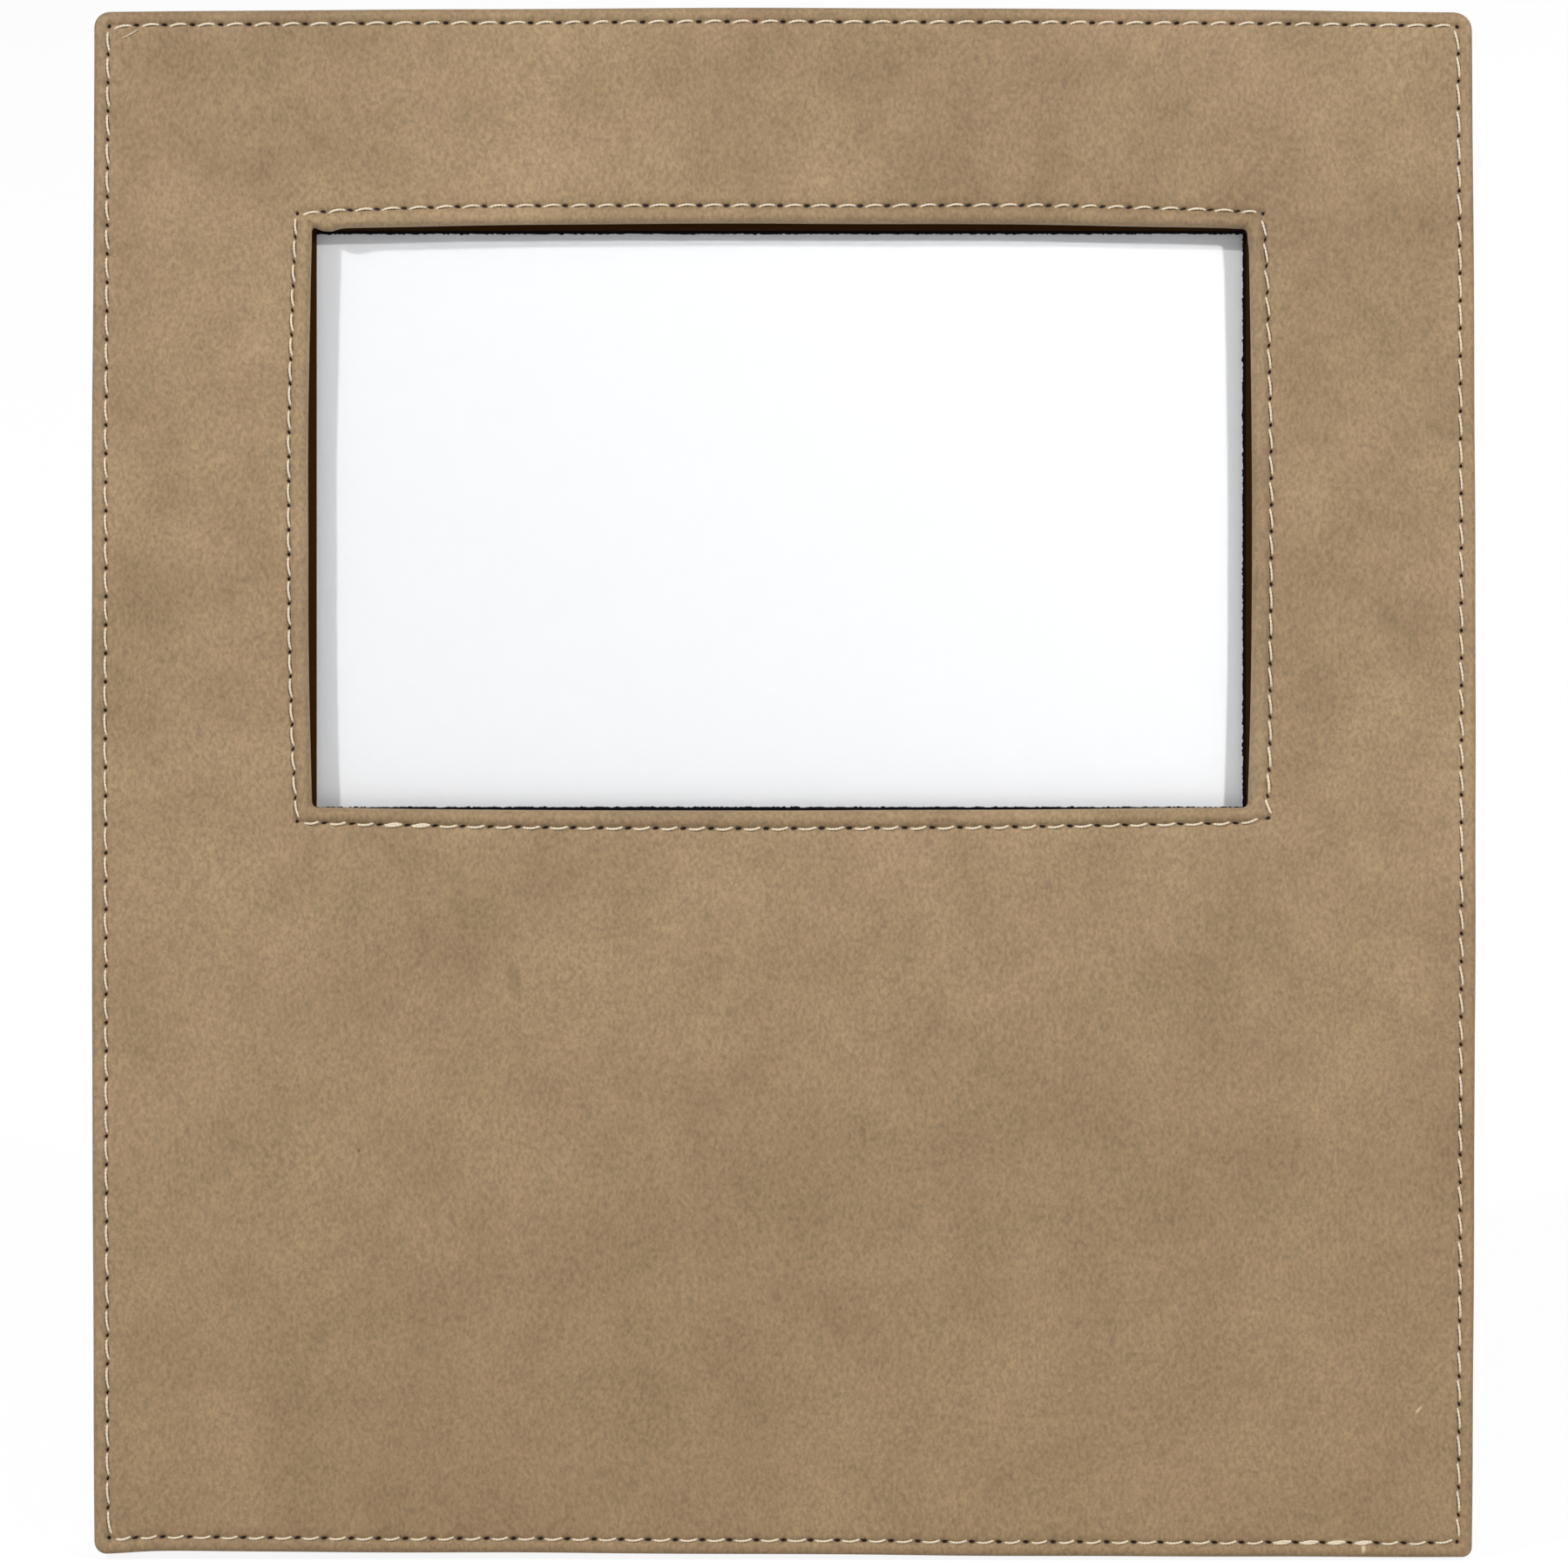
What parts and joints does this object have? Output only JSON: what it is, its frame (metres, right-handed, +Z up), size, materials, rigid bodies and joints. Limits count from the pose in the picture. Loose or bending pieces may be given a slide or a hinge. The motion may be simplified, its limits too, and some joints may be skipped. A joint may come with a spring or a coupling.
{
  "type": "leatherette photo frame",
  "caption": "Upright photo frame wrapped in tan leatherette with stitched edges, a landscape window in its upper half, a blank insert card and a hinged easel leg.",
  "frame": {"origin": "centre of the bounding box in X and Y, on the surface that the frame stands on", "axes": "+Z up, +X to the right seen from the front, the picture side faces -Y and leans back 11 degrees"},
  "size_m": [0.2164, 0.0652, 0.2383],
  "materials": {
    "leatherette": "fine-grained polyurethane leatherette, matt",
    "thread": "thick spun polyester thread",
    "greyboard": "dense board with blackened edges",
    "black_card": "flocked black card",
    "clear_plastic": "clear sheet",
    "white_card": "smooth uncoated card",
    "velour": "short-pile black velour",
    "nickel": "nickel-plated steel, satin"
  },
  "bodies": {
    "panel": {"face_leatherette": "leatherette", "front_board": "greyboard", "outer_stitching": "thread", "window_stitching": "thread", "window_liner": "black_card", "clear_sheet": "clear_plastic", "insert_card": "white_card", "spacer_left": "greyboard", "spacer_right": "greyboard", "spacer_bottom": "greyboard", "back_board": "greyboard", "back_lining": "velour", "hinge_back_leaf": "nickel", "hinge_pin": "nickel", "back_rivet_1": "nickel", "back_rivet_2": "nickel"},
    "leg": {"leg_board": "greyboard", "leg_lining": "velour", "hinge_leg_leaf": "nickel", "leg_rivet_1": "nickel", "leg_rivet_2": "nickel"}
  },
  "joints": [
    {"name": "easel_hinge", "type": "hinge", "parent": "panel", "child": "leg", "pos_m": [0, 0.00698, 0.14647], "axis": [-1, 0, 0], "range_deg": [0, 20.5]}
  ]
}
